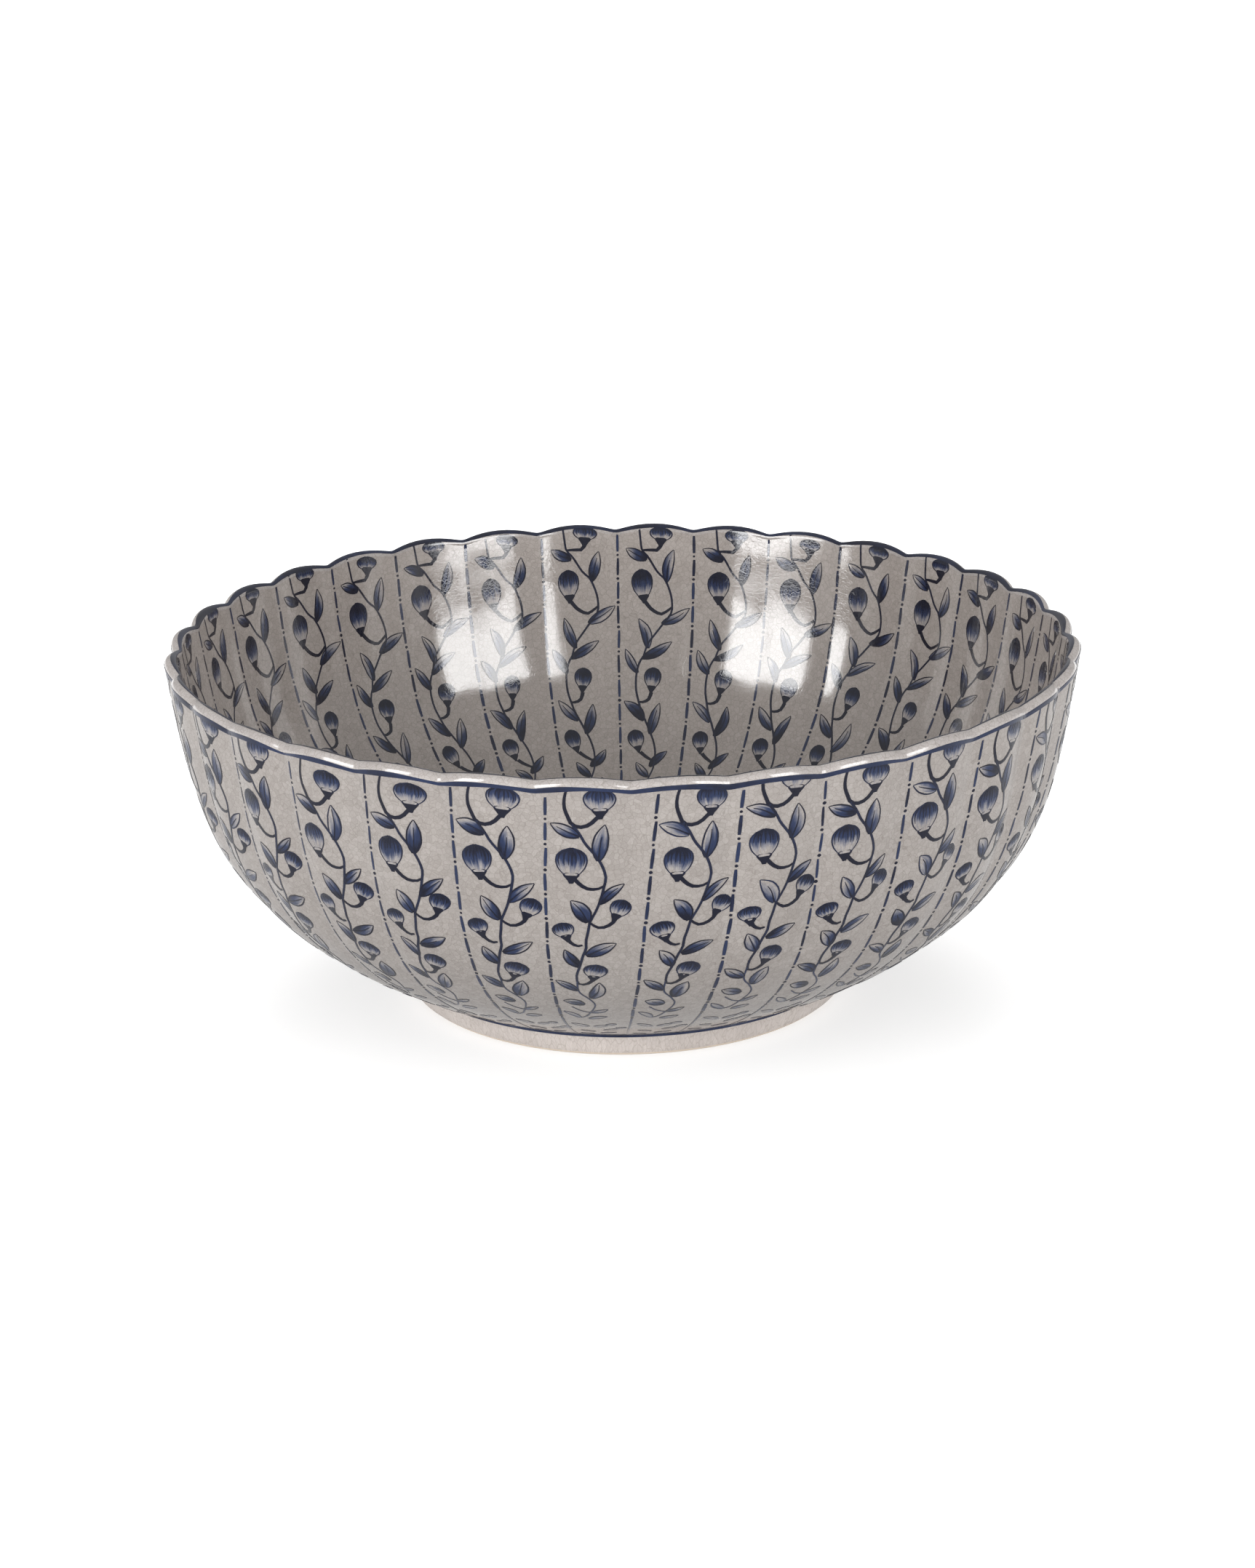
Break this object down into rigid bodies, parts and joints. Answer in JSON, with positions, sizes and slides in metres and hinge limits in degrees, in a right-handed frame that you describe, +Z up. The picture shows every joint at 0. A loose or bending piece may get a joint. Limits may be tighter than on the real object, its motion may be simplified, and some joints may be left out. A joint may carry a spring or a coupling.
{
  "type": "serving bowl",
  "caption": "Wide fluted porcelain serving bowl with a scalloped lip and crackle glaze, standing on a low turned foot ring.",
  "frame": {"origin": "centre of the foot ring's underside, on the surface that the bowl stands on", "axes": "+Z up along the bowl's axis; +X passes through a groove between two flutes"},
  "size_m": [0.3286, 0.3286, 0.131],
  "materials": {
    "porcelain_body": "matt biscuit porcelain, hidden under the glaze",
    "foot_porcelain": "matt biscuit porcelain, bare only on the foot's lower edge",
    "slip": "matt fired slip, hidden under the glaze",
    "crackle_glaze_outside": "glossy warm grey glaze with a fine crackle",
    "crackle_glaze_inside": "glossy warm grey glaze with a fine crackle",
    "lip_glaze": "glossy plain pale glaze",
    "foot_glaze": "thin pale glaze with fine upright crackle, satin",
    "cobalt_decoration": "cobalt blue brushwork under a glossy glaze"
  },
  "bodies": {
    "root": {"bowl_body": "porcelain_body", "foot_ring": "foot_porcelain", "luting_slip": "slip", "outer_glaze": "crackle_glaze_outside", "inner_glaze": "crackle_glaze_inside", "lip_glaze": "lip_glaze", "foot_glaze": "foot_glaze", "base_glaze": "foot_glaze"}
  },
  "joints": []
}
